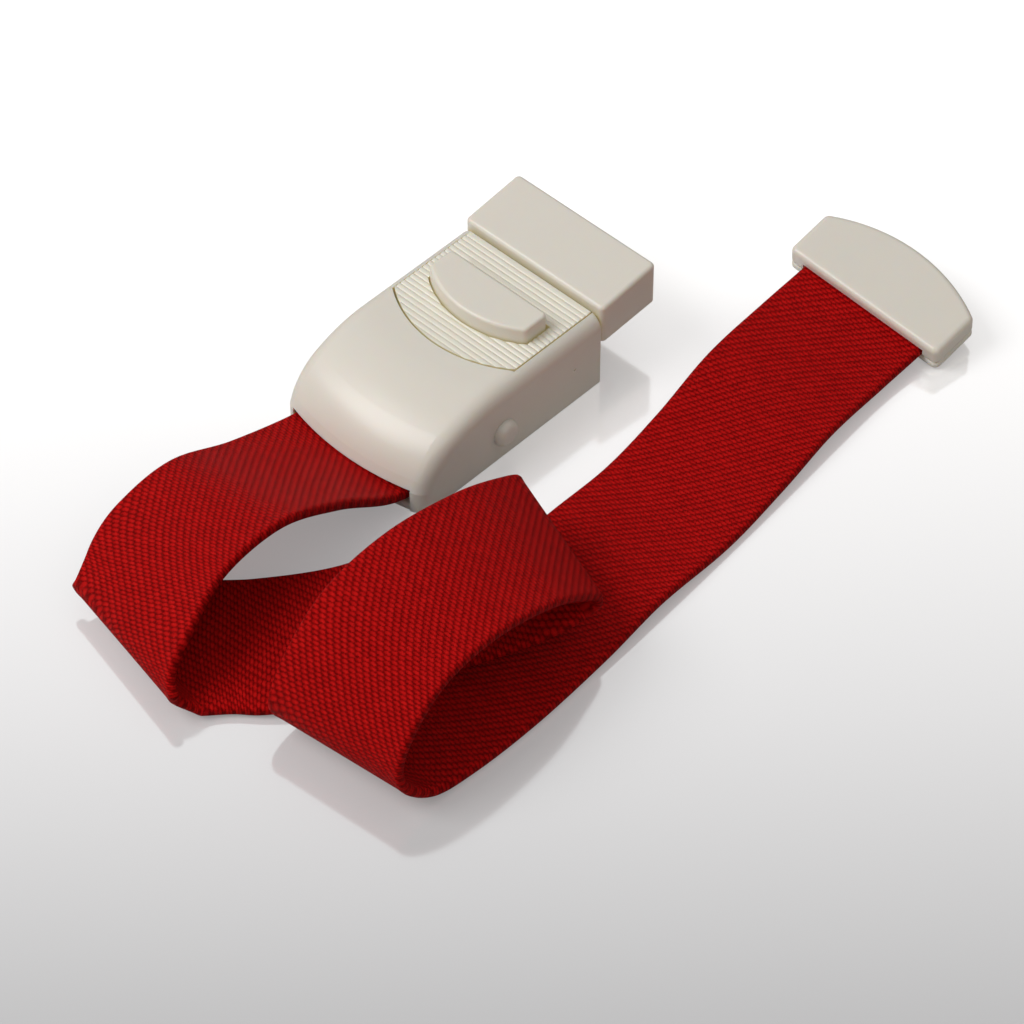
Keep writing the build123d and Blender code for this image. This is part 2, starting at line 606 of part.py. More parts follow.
# ---------------------------------------------------------------- button
with BuildPart() as thumb_button:
    with BuildSketch(Plane.XY.offset(BUTTON_FLANGE_BOTTOM)):
        with BuildLine():
            add(button_outline())
        make_face()
        fillet(vertices(), BUTTON_CORNER)
    extrude(amount=BUTTON_TOP - BUTTON_FLANGE_BOTTOM)
    fillet(thumb_button.faces().sort_by(Axis.Z)[-1].edges(), BUTTON_EDGE)
    with BuildSketch(Plane.XY.offset(BUTTON_FLANGE_BOTTOM)):
        with BuildLine():
            add(button_outline())
        make_face()
        offset(amount=2 * BUTTON_GAP, kind=Kind.ARC)
    extrude(amount=BUTTON_FLANGE_TOP - BUTTON_FLANGE_BOTTOM)
    with Locations((BUTTON_STEM_X, 0, BUTTON_STEM_BOTTOM)):
        Box(*BUTTON_STEM, BUTTON_FLANGE_BOTTOM - BUTTON_STEM_BOTTOM + 0.1,
            align=(Align.CENTER, Align.CENTER, Align.MIN))
    # pockets over the tongue's prongs, for when the lever and the button are both down
    with Locations(*[(PRONG_TIP - PRONG_CLEAR, side * PRONG_Y, BUTTON_FLANGE_BOTTOM) for side in (-1, 1)]):
        Box(PRONG_TIP, PRONG_WIDTH + 2 * PRONG_CLEAR, BUTTON_FLANGE_TOP - BUTTON_FLANGE_BOTTOM,
            align=(Align.MIN, Align.CENTER, Align.MIN), mode=Mode.SUBTRACT)
thumb_button.part.label = "thumb_button"
export_step(thumb_button.part, "parts/thumb_button.step")

# ---------------------------------------------------------------- plug
with BuildPart() as plug_head:
    with BuildSketch(Plane.XZ):
        with BuildLine():
            Polyline(
                (PLUG_FRONT, PLUG_BOTTOM),
                (PLUG_REAR, PLUG_BOTTOM + PLUG_UNDER_RISE),
                (PLUG_REAR, PLUG_TOP + PLUG_RISE),
                (PLUG_FRONT, PLUG_TOP),
                (PLUG_FRONT, PLUG_BOTTOM),
            )
        make_face()
    extrude(amount=PLUG_HALF, both=True)
    fillet(plug_head.edges().filter_by(Axis.Z), PLUG_CORNER)
    fillet(plug_head.faces().sort_by(Axis.Z)[-1].edges(), PLUG_EDGE)
    # hollow underneath, for the strap's anchor
    with BuildSketch(Plane.XY.offset(PLUG_BOTTOM - 1)):
        with Locations((PLUG_FRONT + PLUG_WALL, 0)):
            Rectangle(PLUG_REAR - PLUG_FRONT - 2 * PLUG_WALL, 2 * (PLUG_HALF - PLUG_WALL),
                      align=(Align.MIN, Align.CENTER))
    extrude(amount=PLUG_POCKET_TOP - PLUG_BOTTOM + 1, mode=Mode.SUBTRACT)
    # slots in the front wall for the tongue's prongs
    with Locations(*[(PLUG_FRONT, side * PRONG_Y, PLUG_BOTTOM - 1) for side in (-1, 1)]):
        Box(2 * PLUG_WALL + 0.1, PRONG_WIDTH + 0.1, TONGUE_TOP - PLUG_BOTTOM + 1.05,
            align=(Align.CENTER, Align.CENTER, Align.MIN), mode=Mode.SUBTRACT)
    # seats for the anchor pin
    with BuildSketch(Plane.XZ):
        with Locations((ANCHOR_X, ANCHOR_Z)):
            Circle(ANCHOR_RADIUS + 0.02)
    extrude(amount=PLUG_HALF - PLUG_WALL / 2, both=True, mode=Mode.SUBTRACT)
plug_head.part.label = "plug_head"
export_step(plug_head.part, "parts/plug_head.step")

with BuildPart() as plug_tongue:
    # cover plate under the plug, with a slot for the strap
    with BuildSketch(Plane.XY.offset(PLUG_BOTTOM)):
        with Locations((PLUG_FRONT + PLUG_WALL + 0.05, 0)):
            Rectangle(PLUG_REAR - PLUG_FRONT - 2 * PLUG_WALL - 0.1, 2 * (PLUG_HALF - PLUG_WALL) - 0.1,
                      align=(Align.MIN, Align.CENTER))
        with Locations((STRAP_SLOT_X, 0)):
            Rectangle(2.6, STRAP_WIDTH + 0.4, mode=Mode.SUBTRACT)
        with Locations(*[(PRONG_TIP, side * PRONG_Y) for side in (-1, 1)]):
            Rectangle(PLUG_FRONT + PLUG_WALL + 1 - PRONG_TIP, PRONG_WIDTH, align=(Align.MIN, Align.CENTER))
    extrude(amount=TONGUE_TOP - PLUG_BOTTOM)
    tips = plug_tongue.edges().filter_by(Axis.Y).filter_by(lambda e: e.center().X < PRONG_TIP + 0.1)
    chamfer(tips, 0.4)
    # catch notches in the prongs
    with Locations(*[(HOOK_X + 0.1, side * (HOOK_INNER + 0.9), PLUG_BOTTOM) for side in (-1, 1)]):
        Box(2.4, 2.0, 1.2, mode=Mode.SUBTRACT)
plug_tongue.part.label = "plug_tongue"
export_step(plug_tongue.part, "parts/plug_tongue.step")

with BuildPart() as anchor_pin:
    with BuildSketch(Plane.XZ):
        with Locations((ANCHOR_X, ANCHOR_Z)):
            Circle(ANCHOR_RADIUS)
    extrude(amount=PLUG_HALF - PLUG_WALL / 2 - 0.05, both=True)
    chamfer(anchor_pin.edges().filter_by(GeomType.CIRCLE), 0.2)
anchor_pin.part.label = "anchor_pin"
export_step(anchor_pin.part, "parts/anchor_pin.step")

# ---------------------------------------------------------------- webbing
# End of the strap: up into the plug and round the anchor pin.
with BuildPart() as strap_anchor_end:
    with BuildSketch(Plane.XZ):
        with BuildLine():
            loop_radius = ANCHOR_RADIUS + 0.1 + STRAP_THICK / 2
            rise = FilletPolyline(
                (STRAP_PATH[0][0] + 0.1, STRAP_PATH[0][2]),
                (21.3, STRAP_PATH[0][2]),
                (24.0, 6.6),
                (STRAP_SLOT_X, 7.2),
                (STRAP_SLOT_X, ANCHOR_Z),
                radius=1.2,
            )
            over = ThreePointArc(
                rise @ 1,
                (STRAP_SLOT_X + loop_radius, ANCHOR_Z + loop_radius),
                (STRAP_SLOT_X + 2 * loop_radius, ANCHOR_Z),
            )
            Line(over @ 1, (STRAP_SLOT_X + 2 * loop_radius, ANCHOR_Z - 1))
        trace(line_width=STRAP_THICK)
    extrude(amount=STRAP_WIDTH / 2, both=True)
strap_anchor_end.part.label = "strap_anchor_end"
export_step(strap_anchor_end.part, "parts/strap_anchor_end.step")

# Main run: through the buckle, over the hump, round both turns of the loop.
with BuildPart() as strap_main:
    for t in strap_stops(0, LIFT_STATION - 0.06):
        cut, length = strap_section(t)
        with BuildSketch(cut):
            Rectangle(length, STRAP_THICK)
    loft(ruled=True)
strap_main.part.label = "strap_main"
export_step(strap_main.part, "parts/strap_main.step")

# Free end: starts with a round edge on the line where it lifts.
with BuildPart() as strap_tail:
    for t in strap_stops(LIFT_STATION, len(STRAP_PATH) - 1):
        cut, length = strap_section(t)
        with BuildSketch(cut):
            Rectangle(length, STRAP_THICK)
    loft(ruled=True)
    cut, length = strap_section(LIFT_STATION)
    with BuildSketch(Plane(origin=cut.origin, z_dir=cut.x_dir)):
        Circle(STRAP_THICK * 0.48)
    extrude(amount=length / 2, both=True)
    with BuildSketch(tip_plane):
        with Locations((TIP_PIN_X, TIP_PIN_Y), (TIP_PIN_X, -TIP_PIN_Y)):
            Circle(TIP_PIN_RADIUS + 0.1)
    extrude(amount=TIP_THICK, mode=Mode.SUBTRACT)
strap_tail.part.label = "strap_tail"
export_step(strap_tail.part, "parts/strap_tail.step")

# ---------------------------------------------------------------- pull tab
with BuildPart() as tip_upper_shell:
    with BuildSketch(tip_plane.offset(TIP_LOWER + 0.02)):
        with BuildLine():
            add(tip_outline())
        make_face()
        fillet(vertices(), TIP_CORNER)
    extrude(amount=TIP_THICK - TIP_LOWER - 0.02)
    fillet(tip_upper_shell.faces().sort_by(Axis.Z)[-1].edges(), TIP_EDGE)
    with BuildSketch(tip_plane):
        with Locations((-1, 0)):
            Rectangle(TIP_SLOT_END + 1, STRAP_WIDTH + 0.3, align=(Align.MIN, Align.CENTER))
    extrude(amount=TIP_SLOT_TOP, mode=Mode.SUBTRACT)
    with BuildSketch(tip_plane):
        with Locations((TIP_PIN_X, TIP_PIN_Y), (TIP_PIN_X, -TIP_PIN_Y)):
            Circle(TIP_PIN_RADIUS + 0.02)
    extrude(amount=TIP_PIN_HIGH + 0.05, mode=Mode.SUBTRACT)
tip_upper_shell.part.label = "tip_upper_shell"
export_step(tip_upper_shell.part, "parts/tip_upper_shell.step")

with BuildPart() as tip_lower_shell:
    with BuildSketch(tip_plane):
        with BuildLine():
            add(tip_outline())
        make_face()
        fillet(vertices(), TIP_CORNER)
    extrude(amount=TIP_LOWER)
    fillet(tip_lower_shell.faces().sort_by(Axis.Z)[0].edges(), TIP_LOWER_EDGE)
    with BuildSketch(tip_plane.offset(TIP_LOWER)):
        with Locations((TIP_PIN_X, TIP_PIN_Y), (TIP_PIN_X, -TIP_PIN_Y)):
            Circle(TIP_PIN_RADIUS + 0.02)
    extrude(amount=TIP_PIN_LOW - 0.05 - TIP_LOWER, mode=Mode.SUBTRACT)
tip_lower_shell.part.label = "tip_lower_shell"
export_step(tip_lower_shell.part, "parts/tip_lower_shell.step")

with BuildPart() as tip_pins:
    with BuildSketch(tip_plane.offset(TIP_PIN_LOW)):
        with Locations((TIP_PIN_X, TIP_PIN_Y), (TIP_PIN_X, -TIP_PIN_Y)):
            Circle(TIP_PIN_RADIUS)
    extrude(amount=TIP_PIN_HIGH - TIP_PIN_LOW)
tip_pins.part.label = "tip_pins"
export_step(tip_pins.part, "parts/tip_pins.step")
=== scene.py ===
import json
from math import cos, pi, radians, sin

import bpy
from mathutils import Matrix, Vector


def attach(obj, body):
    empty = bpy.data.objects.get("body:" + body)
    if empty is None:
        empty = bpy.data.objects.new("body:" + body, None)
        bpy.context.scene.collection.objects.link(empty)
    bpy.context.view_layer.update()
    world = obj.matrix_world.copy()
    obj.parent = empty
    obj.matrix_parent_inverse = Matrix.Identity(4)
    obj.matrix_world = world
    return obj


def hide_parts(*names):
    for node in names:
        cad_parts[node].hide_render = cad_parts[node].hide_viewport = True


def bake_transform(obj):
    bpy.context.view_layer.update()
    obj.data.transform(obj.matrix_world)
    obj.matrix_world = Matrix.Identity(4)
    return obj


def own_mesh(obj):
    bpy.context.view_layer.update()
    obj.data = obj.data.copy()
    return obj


# Quick-release tourniquet on a pale floor. Lengths below are in millimetres,
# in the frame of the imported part, and MM turns them into Blender's metres.
MM = 0.001

# ---------------------------------------------------------------- camera
LOOK_AT = (-8.7, -24.6, 0.0)
CAMERA_DISTANCE = 700.0
CAMERA_HEADING = 43.64      # degrees from +X to the horizontal viewing direction
CAMERA_PITCH = 47.72        # degrees below the horizon
CAMERA_LENS = 157.8

# ---------------------------------------------------------------- floor and surroundings
FLOOR_SIZE = 4000.0
FLOOR_DROP = 0.1            # below the part, so that the two surfaces never coincide
FLOOR_FADE = 4.2            # how fast the floor whitens away from the camera, per metre
FLOOR_FADE_CENTRE = 0.62
FLOOR_GLOW = 0.55
FLOOR_SHINE = 0.34
BOUNCE_COLOUR = (0.36, 0.345, 0.33)
WARM_WHITE = (1.0, 0.8, 0.66)
WORLD_STRENGTH = 0.5
WORLD_EXTRA_IN_REFLECTIONS = 0.55

# ---------------------------------------------------------------- webbing
STRAP_WIDTH = 25.0
STRAP_THICK = 1.6
STRAP_EDGE_ROUND = 0.7
SELVEDGE_WIDTH = 1.2
SELVEDGE_RISE = 0.08
STRAP_STEP = 0.5            # distance between sections
WALK_STEP = 0.01            # how finely the path is walked to place them, in spans
TANGENT_STEP = 0.02         # spans to either side when the direction is measured
STITCH_COLUMN = 0.6         # stitches along the strap, millimetres
STITCH_ROW = 1.4            # stitches across the strap
STITCH_SHIFT = 0.466        # each column starts this much further across
# x, y, z of the centre line, then heading and bank (degrees) of the line across
STRAP_PATH = [
    (20.3, 0.0, 2.0, 180, 0),       # in the channel under the plug
    (2.0, 0.0, 2.0, 180, 0),
    (-10.0, 0.0, 2.2, 180, 0),      # under the clamp's teeth
    (-21.0, 0.2, 3.4, 180, 0),      # out under the nose lip
    (-33.0, 1.0, 8.3, 181, 9),
    (-45.0, 1.4, 13.1, 181, 9.5),   # over the first hump
    (-56.9, 0.9, 12.5, 175.5, 9),
    (-66.0, -1.4, 9.4, 171.5, 6.5),
    (-70.9, -3.4, 5.0, 168.5, 2.5),  # first turn, on the ground
    (-68.0, -6.4, 1.8, 167, -1),
    (-61.8, -11.6, 1.8, 159, -4),
    (-54.8, -18.4, 2.2, 150, -4),
    (-45.0, -26.2, 3.5, 146, -3),   # slips between the two layers of the loop
    (-34.0, -33.0, 6.0, 153, -6),
    (-24.0, -38.5, 8.3, 160, -9),
    (-18.0, -40.5, 10.0, 164, -11),
    (-15.9, -40.9, 11.8, 165, -11),  # raised fold
    (-18.0, -41.0, 14.0, 166, -10),
    (-27.0, -40.8, 18.6, 171, -7),
    (-40.0, -40.3, 21.0, 176, -5),  # top of the loop
    (-52.0, -40.2, 19.2, 180, -3),
    (-61.0, -40.9, 12.8, 183.5, 0),
    (-64.1, -41.8, 6.6, 186, 0),
    (-59.8, -43.2, 1.9, 186, 0),    # second turn, on the ground
    (-51.5, -44.4, 0.9, 182.5, 0),
    (-38.0, -44.8, 0.9, 180, 0),
    (-22.0, -44.0, 1.2, 181, 0),
    (-8.0, -42.8, 1.8, 182, 0),
    (8.0, -42.0, 0.9, 182, 0),      # where the free end starts to lift
    (22.0, -40.5, 1.6, 183, -1),
    (36.0, -38.7, 3.1, 183, -4),
    (50.0, -37.7, 3.1, 181, -5.5),
    (60.0, -37.5, 3.75, 180, -5.8),  # into the pull tab
    (68.8, -37.5, 5.3, 180, -5.8),
]
# Path through the plug: from its anchor pin down to the housing's channel.
ANCHOR_PATH = [
    (31.9, 0.0, 10.0, 180, 0),
    (31.9, 0.0, 11.0, 180, 0),
    (31.27, 0.0, 12.52, 180, 0),
    (29.75, 0.0, 13.15, 180, 0),
    (28.23, 0.0, 12.52, 180, 0),
    (27.6, 0.0, 11.0, 180, 0),
    (27.6, 0.0, 9.2, 180, 0),
    (27.4, 0.0, 7.9, 180, 0),
    (26.5, 0.0, 7.05, 180, 0),
    (24.9, 0.0, 6.75, 180, 0),
    (23.85, 0.0, 6.15, 180, 0),
    (23.0, 0.0, 4.9, 180, 0),
    (22.0, 0.0, 3.2, 180, 0),
    (21.3, 0.0, 2.3, 180, 0),
    (20.3, 0.0, 2.0, 180, 0),
    (8.0, 0.0, 2.0, 180, 0),
    (-4.0, 0.0, 2.05, 180, 0),
]
LEVER_SPRING_KEEP = 0.75    # share of its length left when the lever is down
CLAMP_SPRING_KEEP = 0.48    # the same for the clamp's springs, with the button down
# painted light: narrow gaps in the plastic above this height get an olive tint and a glow
PAINTED_GAP_GLOW_START = 9.5        # height above which gaps in the plastic look olive
PAINTED_GAP_GLOW_FULL = 11.5
SPLIT_STATION = 1.5         # on STRAP_PATH, under the clamp: the two webbing pieces meet here

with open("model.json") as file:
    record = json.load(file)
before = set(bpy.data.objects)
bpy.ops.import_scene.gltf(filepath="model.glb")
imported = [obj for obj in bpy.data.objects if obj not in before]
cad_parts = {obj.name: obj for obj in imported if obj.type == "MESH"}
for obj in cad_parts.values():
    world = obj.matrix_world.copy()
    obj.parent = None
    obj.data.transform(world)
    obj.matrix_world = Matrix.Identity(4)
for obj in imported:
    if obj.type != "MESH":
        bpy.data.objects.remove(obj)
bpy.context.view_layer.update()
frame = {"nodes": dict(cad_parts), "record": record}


# ---------------------------------------------------------------- node helpers
def new_material(name):
    """An empty node material with its Principled shader and its output."""
    material = bpy.data.materials.new(name)
    material.use_nodes = True
    nodes = material.node_tree.nodes
    return material, nodes, material.node_tree.links, nodes["Principled BSDF"]


def math_node(nodes, links, operation, a, b=None):
    """A maths node on values or sockets; returns its output socket."""
    node = nodes.new("ShaderNodeMath")
    node.operation = operation
    for socket, value in zip(node.inputs, (a, b)):
        if value is None:
            continue
        if isinstance(value, (int, float)):
            socket.default_value = value
        else:
            links.new(value, socket)
    return node.outputs[0]


def ramp_node(nodes, links, factor, stops):
    """A colour ramp from (position, colour) stops; returns its output socket."""
    node = nodes.new("ShaderNodeValToRGB")
    elements = node.color_ramp.elements
    while len(elements) < len(stops):
        elements.new(0.5)
    for element, (position, colour) in zip(elements, stops):
        element.position = position
        element.color = (*colour, 1)
    links.new(factor, node.inputs[0])
    return node.outputs[0]


# ---------------------------------------------------------------- materials
def plastic(name, colour, roughness=0.3, glow=0.1):
    """Ivory moulded plastic with some subsurface; narrow gaps get a painted olive tint and a painted
    glow, standing in for light through the plastic, so that they look olive instead of black.
    """
    material, nodes, links, shader = new_material(name)
    # painted light in gaps: occlusion within 1.1 mm drives an olive colour and an emission glow
    near = nodes.new("ShaderNodeAmbientOcclusion")
    near.inputs["Distance"].default_value = 1.1 * MM
    depth = math_node(nodes, links, "SUBTRACT", 1.0, near.outputs["AO"])
    depth = math_node(nodes, links, "POWER", depth, 1.3)
    # painted tint and glow only in gaps high up, round the lever and the button: the housing's foot stays
    # plain
    where = nodes.new("ShaderNodeNewGeometry")
    split = nodes.new("ShaderNodeSeparateXYZ")
    links.new(where.outputs["Position"], split.inputs[0])
    raised = nodes.new("ShaderNodeMapRange")
    raised.inputs["From Min"].default_value = PAINTED_GAP_GLOW_START * MM
    raised.inputs["From Max"].default_value = PAINTED_GAP_GLOW_FULL * MM
    links.new(split.outputs[2], raised.inputs["Value"])
    depth = math_node(nodes, links, "MULTIPLY", depth, raised.outputs["Result"])
    painted_gap_colour = nodes.new("ShaderNodeMix")
    painted_gap_colour.data_type = "RGBA"
    painted_gap_colour.inputs["A"].default_value = (*colour, 1)
    painted_gap_colour.inputs["B"].default_value = (0.62, 0.55, 0.3, 1)
    links.new(depth, painted_gap_colour.inputs["Factor"])
    links.new(painted_gap_colour.outputs["Result"], shader.inputs["Base Color"])
    shader.inputs["Emission Color"].default_value = (0.7, 0.62, 0.3, 1)
    links.new(math_node(nodes, links, "MULTIPLY", depth, glow), shader.inputs["Emission Strength"])
    shader.inputs["Roughness"].default_value = roughness
    shader.inputs["Subsurface Weight"].default_value = 0.35
    shader.inputs["Subsurface Radius"].default_value = (1.0, 0.55, 0.3)
    shader.inputs["Subsurface Scale"].default_value = 2.4 * MM
    grain = nodes.new("ShaderNodeTexNoise")
    grain.inputs["Scale"].default_value = 900
    bump = nodes.new("ShaderNodeBump")
    bump.inputs["Strength"].default_value = 0.05
    bump.inputs["Distance"].default_value = 0.05 * MM
    links.new(grain.outputs[0], bump.inputs["Height"])
    links.new(bump.outputs[0], shader.inputs["Normal"])
    return material


def steel(name):
    """Plain bright steel, for the springs and pins."""
    material, nodes, links, shader = new_material(name)
    shader.inputs["Base Color"].default_value = (0.55, 0.55, 0.56, 1)
    shader.inputs["Metallic"].default_value = 1
    shader.inputs["Roughness"].default_value = 0.3
    return material


def webbing(name):
    """Red elastic webbing: a twill of short stitches that stand across the strap."""
    material, nodes, links, shader = new_material(name)

    def maths(operation, a, b=None):
        return math_node(nodes, links, operation, a, b)

    def attribute(label):
        node = nodes.new("ShaderNodeAttribute")
        node.attribute_name = label
        return node.outputs["Fac"]

    def noise(scale, amount):
        """Noise around zero, amount from bottom to top."""
        node = nodes.new("ShaderNodeTexNoise")
        node.inputs["Scale"].default_value = scale
        return maths("MULTIPLY", maths("SUBTRACT", node.outputs[0], 0.5), amount)

    across = attribute("across_mm")
    s = maths("ADD", attribute("along_mm"), maths("ADD", noise(260, 0.5), noise(1500, 0.25)))
    w = maths("ADD", across, noise(420, 0.5))
    # cell of one stitch: its column along the strap, its row across it
    column_at = maths("DIVIDE", s, STITCH_COLUMN)
    column = maths("FLOOR", column_at)
    row_at = maths("DIVIDE", maths("SUBTRACT", w, maths("MULTIPLY", column, STITCH_SHIFT)), STITCH_ROW)
    row = maths("FLOOR", row_at)
    u = maths("SUBTRACT", maths("SUBTRACT", column_at, column), 0.5)
    v = maths("SUBTRACT", maths("SUBTRACT", row_at, row), 0.5)
    away = maths("ADD", maths("MULTIPLY", maths("POWER", maths("ABSOLUTE", u), 2.0), 3.4),
                 maths("MULTIPLY", maths("POWER", maths("ABSOLUTE", v), 2.0), 3.8))
    stitch = maths("SQRT", maths("MAXIMUM", maths("SUBTRACT", 1.0, away), 0.0))
    # ribs: the stitches line up along diagonals
    phase = maths("SUBTRACT", maths("DIVIDE", w, STITCH_ROW),
                  maths("MULTIPLY", s, STITCH_SHIFT / (STITCH_COLUMN * STITCH_ROW)))
    rib = maths("COSINE", maths("MULTIPLY", maths("SUBTRACT", phase, 0.5), 2 * pi))
    cell = nodes.new("ShaderNodeCombineXYZ")
    links.new(column, cell.inputs[0])
    links.new(row, cell.inputs[1])
    chance = nodes.new("ShaderNodeTexWhiteNoise")
    chance.noise_dimensions = "2D"
    links.new(cell.outputs[0], chance.inputs["Vector"])
    height = maths("ADD", maths("MULTIPLY", stitch, 0.75), maths("MULTIPLY", rib, 0.1))
    height = maths("ADD", height, maths("MULTIPLY", chance.outputs["Value"], 0.2))
    # the selvedge is denser and darker
    edge = maths("MULTIPLY", maths("SUBTRACT", maths("ABSOLUTE", across), STRAP_WIDTH / 2 - 0.5), 4.0)
    edge = maths("MINIMUM", maths("MAXIMUM", edge, 0.0), 1.0)
    # painted shade: the colour darkens from the stitch tops into the grooves between them
    shade = maths("ADD", maths("MULTIPLY", height, 0.95), noise(90, 0.25))
    shade = maths("SUBTRACT", shade, maths("MULTIPLY", edge, 0.15))
    stops = [(0.0, (0.17, 0.0012, 0.0014)), (0.5, (0.37, 0.0035, 0.0038)), (1.0, (0.58, 0.0075, 0.007))]
    links.new(ramp_node(nodes, links, shade, stops), shader.inputs["Base Color"])
    bump = nodes.new("ShaderNodeBump")
    bump.inputs["Strength"].default_value = 1.0
    bump.inputs["Distance"].default_value = 0.14 * MM
    links.new(maths("ADD", height, noise(4000, 0.25)), bump.inputs["Height"])
    links.new(bump.outputs[0], shader.inputs["Normal"])
    shader.inputs["Roughness"].default_value = 0.6
    shader.inputs["Specular IOR Level"].default_value = 0.12
    shader.inputs["Specular Tint"].default_value = (1, 0.16, 0.13, 1)
    return material


# ---------------------------------------------------------------- webbing mesh
def on_curve(rows, t):
    """A point at t along a smooth curve through the rows, one span per row."""
    i = min(int(t), len(rows) - 2)
    u = t - i
    p1, p2 = rows[i], rows[i + 1]
    p0 = rows[i - 1] if i > 0 else p1 * 2 - p2
    p3 = rows[i + 2] if i + 2 < len(rows) else p2 * 2 - p1
    linear = (p2 - p0) * u
    square = (p0 * 2 - p1 * 5 + p2 * 4 - p3) * (u * u)
    cube = (p1 * 3 - p0 - p2 * 3 + p3) * (u * u * u)
    return (p1 * 2 + linear + square + cube) * 0.5


def cross_line(row):
    """The direction of the straight line across the strap at one row."""
    heading, bank = radians(row[3]), radians(row[4])
    return Vector((-sin(heading) * cos(bank), cos(heading) * cos(bank), sin(bank)))


def strap_stations(path, start, end):
    """Places t on the path, about STRAP_STEP apart along the centre line."""
    points = [Vector(row[:3]) for row in path]
    stations, travelled, last = [start], 0.0, on_curve(points, start)
    t = start
    while t < end:
        t = min(t + WALK_STEP, end)
        here = on_curve(points, t)
        travelled += (here - last).length
        last = here
        if travelled >= STRAP_STEP:
            stations.append(t)
            travelled = 0.0
    if stations[-1] < end:
        stations.append(end)
    return stations


def strap_profile():
    """Cross-section of the webbing: (across, height, side) with round edges."""
    half, thick = STRAP_WIDTH / 2, STRAP_THICK / 2
    flat = half - STRAP_EDGE_ROUND
    rows = 40
    top = []
    for k in range(rows + 1):
        a = -flat + 2 * flat * k / rows
        top.append((a, thick + SELVEDGE_RISE * max(0, abs(a) - flat + SELVEDGE_WIDTH) / SELVEDGE_WIDTH))
    steps = 6
    edge = [
        (flat + STRAP_EDGE_ROUND * sin(pi * k / steps), (thick + SELVEDGE_RISE) * cos(pi * k / steps))
        for k in range(1, steps)
    ]
    bottom = [(a, -b) for a, b in reversed(top)]
    other = [(-a, -b) for a, b in edge]
    return top + edge + bottom + other


def build_strap(name, path, start, end, first_length):
    """Webbing mesh along a path, with its texture coordinates in millimetres."""
    points = [Vector(row[:3]) for row in path]
    lines = [cross_line(row) for row in path]
    last = len(points) - 1
    profile = strap_profile()
    vertices, along, across = [], [], []
    length, before = first_length, None
    stations = strap_stations(path, start, end)
    for t in stations:
        centre = on_curve(points, t)
        ahead = on_curve(points, min(t + TANGENT_STEP, last))
        behind = on_curve(points, max(t - TANGENT_STEP, 0))
        forward = (ahead - behind).normalized()
        line = on_curve(lines, t).normalized()
        normal = forward.cross(line)
        slant = normal.length
        normal.normalize()
        if before is not None:
            length += (centre - before).length
        before = centre
        for a, b in profile:
            reach = a / slant
            vertices.append((centre + line * reach + normal * b) * MM)
            along.append(length + reach * line.dot(forward))
            across.append(a)
    n = len(profile)
    faces = []
    for i in range(len(stations) - 1):
        for j in range(n):
            k = (j + 1) % n
            faces.append((i * n + j, i * n + k, (i + 1) * n + k, (i + 1) * n + j))
    faces.append(tuple(range(n - 1, -1, -1)))
    top = (len(stations) - 1) * n
    faces.append(tuple(range(top, top + n)))
    mesh = bpy.data.meshes.new(name)
    mesh.from_pydata(vertices, [], faces)
    mesh.update()
    for label, values in (("along_mm", along), ("across_mm", across)):
        attribute = mesh.attributes.new(label, "FLOAT", "POINT")
        attribute.data.foreach_set("value", values)
    for polygon in mesh.polygons:
        polygon.use_smooth = len(polygon.vertices) == 4
    strap = bpy.data.objects.new(name, mesh)
    bpy.context.scene.collection.objects.link(strap)
    return strap, length


# ---------------------------------------------------------------- springs
def compressing_spring(name, node_name):
    """A copy of a packed spring, attached to the housing, in place of the CAD part."""
    spring = bpy.data.objects.new(name, frame["nodes"][node_name].data.copy())
    bpy.context.scene.collection.objects.link(spring)
    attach(spring, "housing")
    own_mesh(spring)
    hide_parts(node_name)


# ---------------------------------------------------------------- build
ivory = (0.74, 0.705, 0.63)
materials = {
    "housing_plastic": plastic("housing_plastic", ivory),
    "lever_plastic": plastic("lever_plastic", (0.78, 0.745, 0.65)),
    "button_plastic": plastic("button_plastic", (0.76, 0.725, 0.645)),
    "plug_plastic": plastic("plug_plastic", ivory),
    "tab_plastic": plastic("tab_plastic", ivory),
    "inner_plastic": plastic("inner_plastic", (0.6, 0.57, 0.5), roughness=0.55),
    "webbing": webbing("webbing"),
    "spring_steel": steel("spring_steel"),
    "pin_steel": steel("pin_steel"),
}
for row in frame["record"]["subparts"]:
    node = frame["nodes"][row["node"]]
    node.data.materials.clear()
    node.data.materials.append(materials[row["material_slot"]])

inner, inner_length = build_strap("webbing_inner", ANCHOR_PATH, 0, len(ANCHOR_PATH) - 1, 0.0)
outer, _ = build_strap("webbing_outer", STRAP_PATH, SPLIT_STATION, len(STRAP_PATH) - 1, inner_length)
for strap in (inner, outer):
    strap.data.materials.append(materials["webbing"])
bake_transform(inner)
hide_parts("strap_anchor_end")
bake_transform(outer)
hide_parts("strap_main", "strap_tail")

for name, node_name, joint, keep in (
    ("lever_spring_coil", "lever_spring", "lever_press", LEVER_SPRING_KEEP),
    ("clamp_spring_coils", "clamp_springs", "button_press", CLAMP_SPRING_KEEP),
):
    compressing_spring(name, node_name)

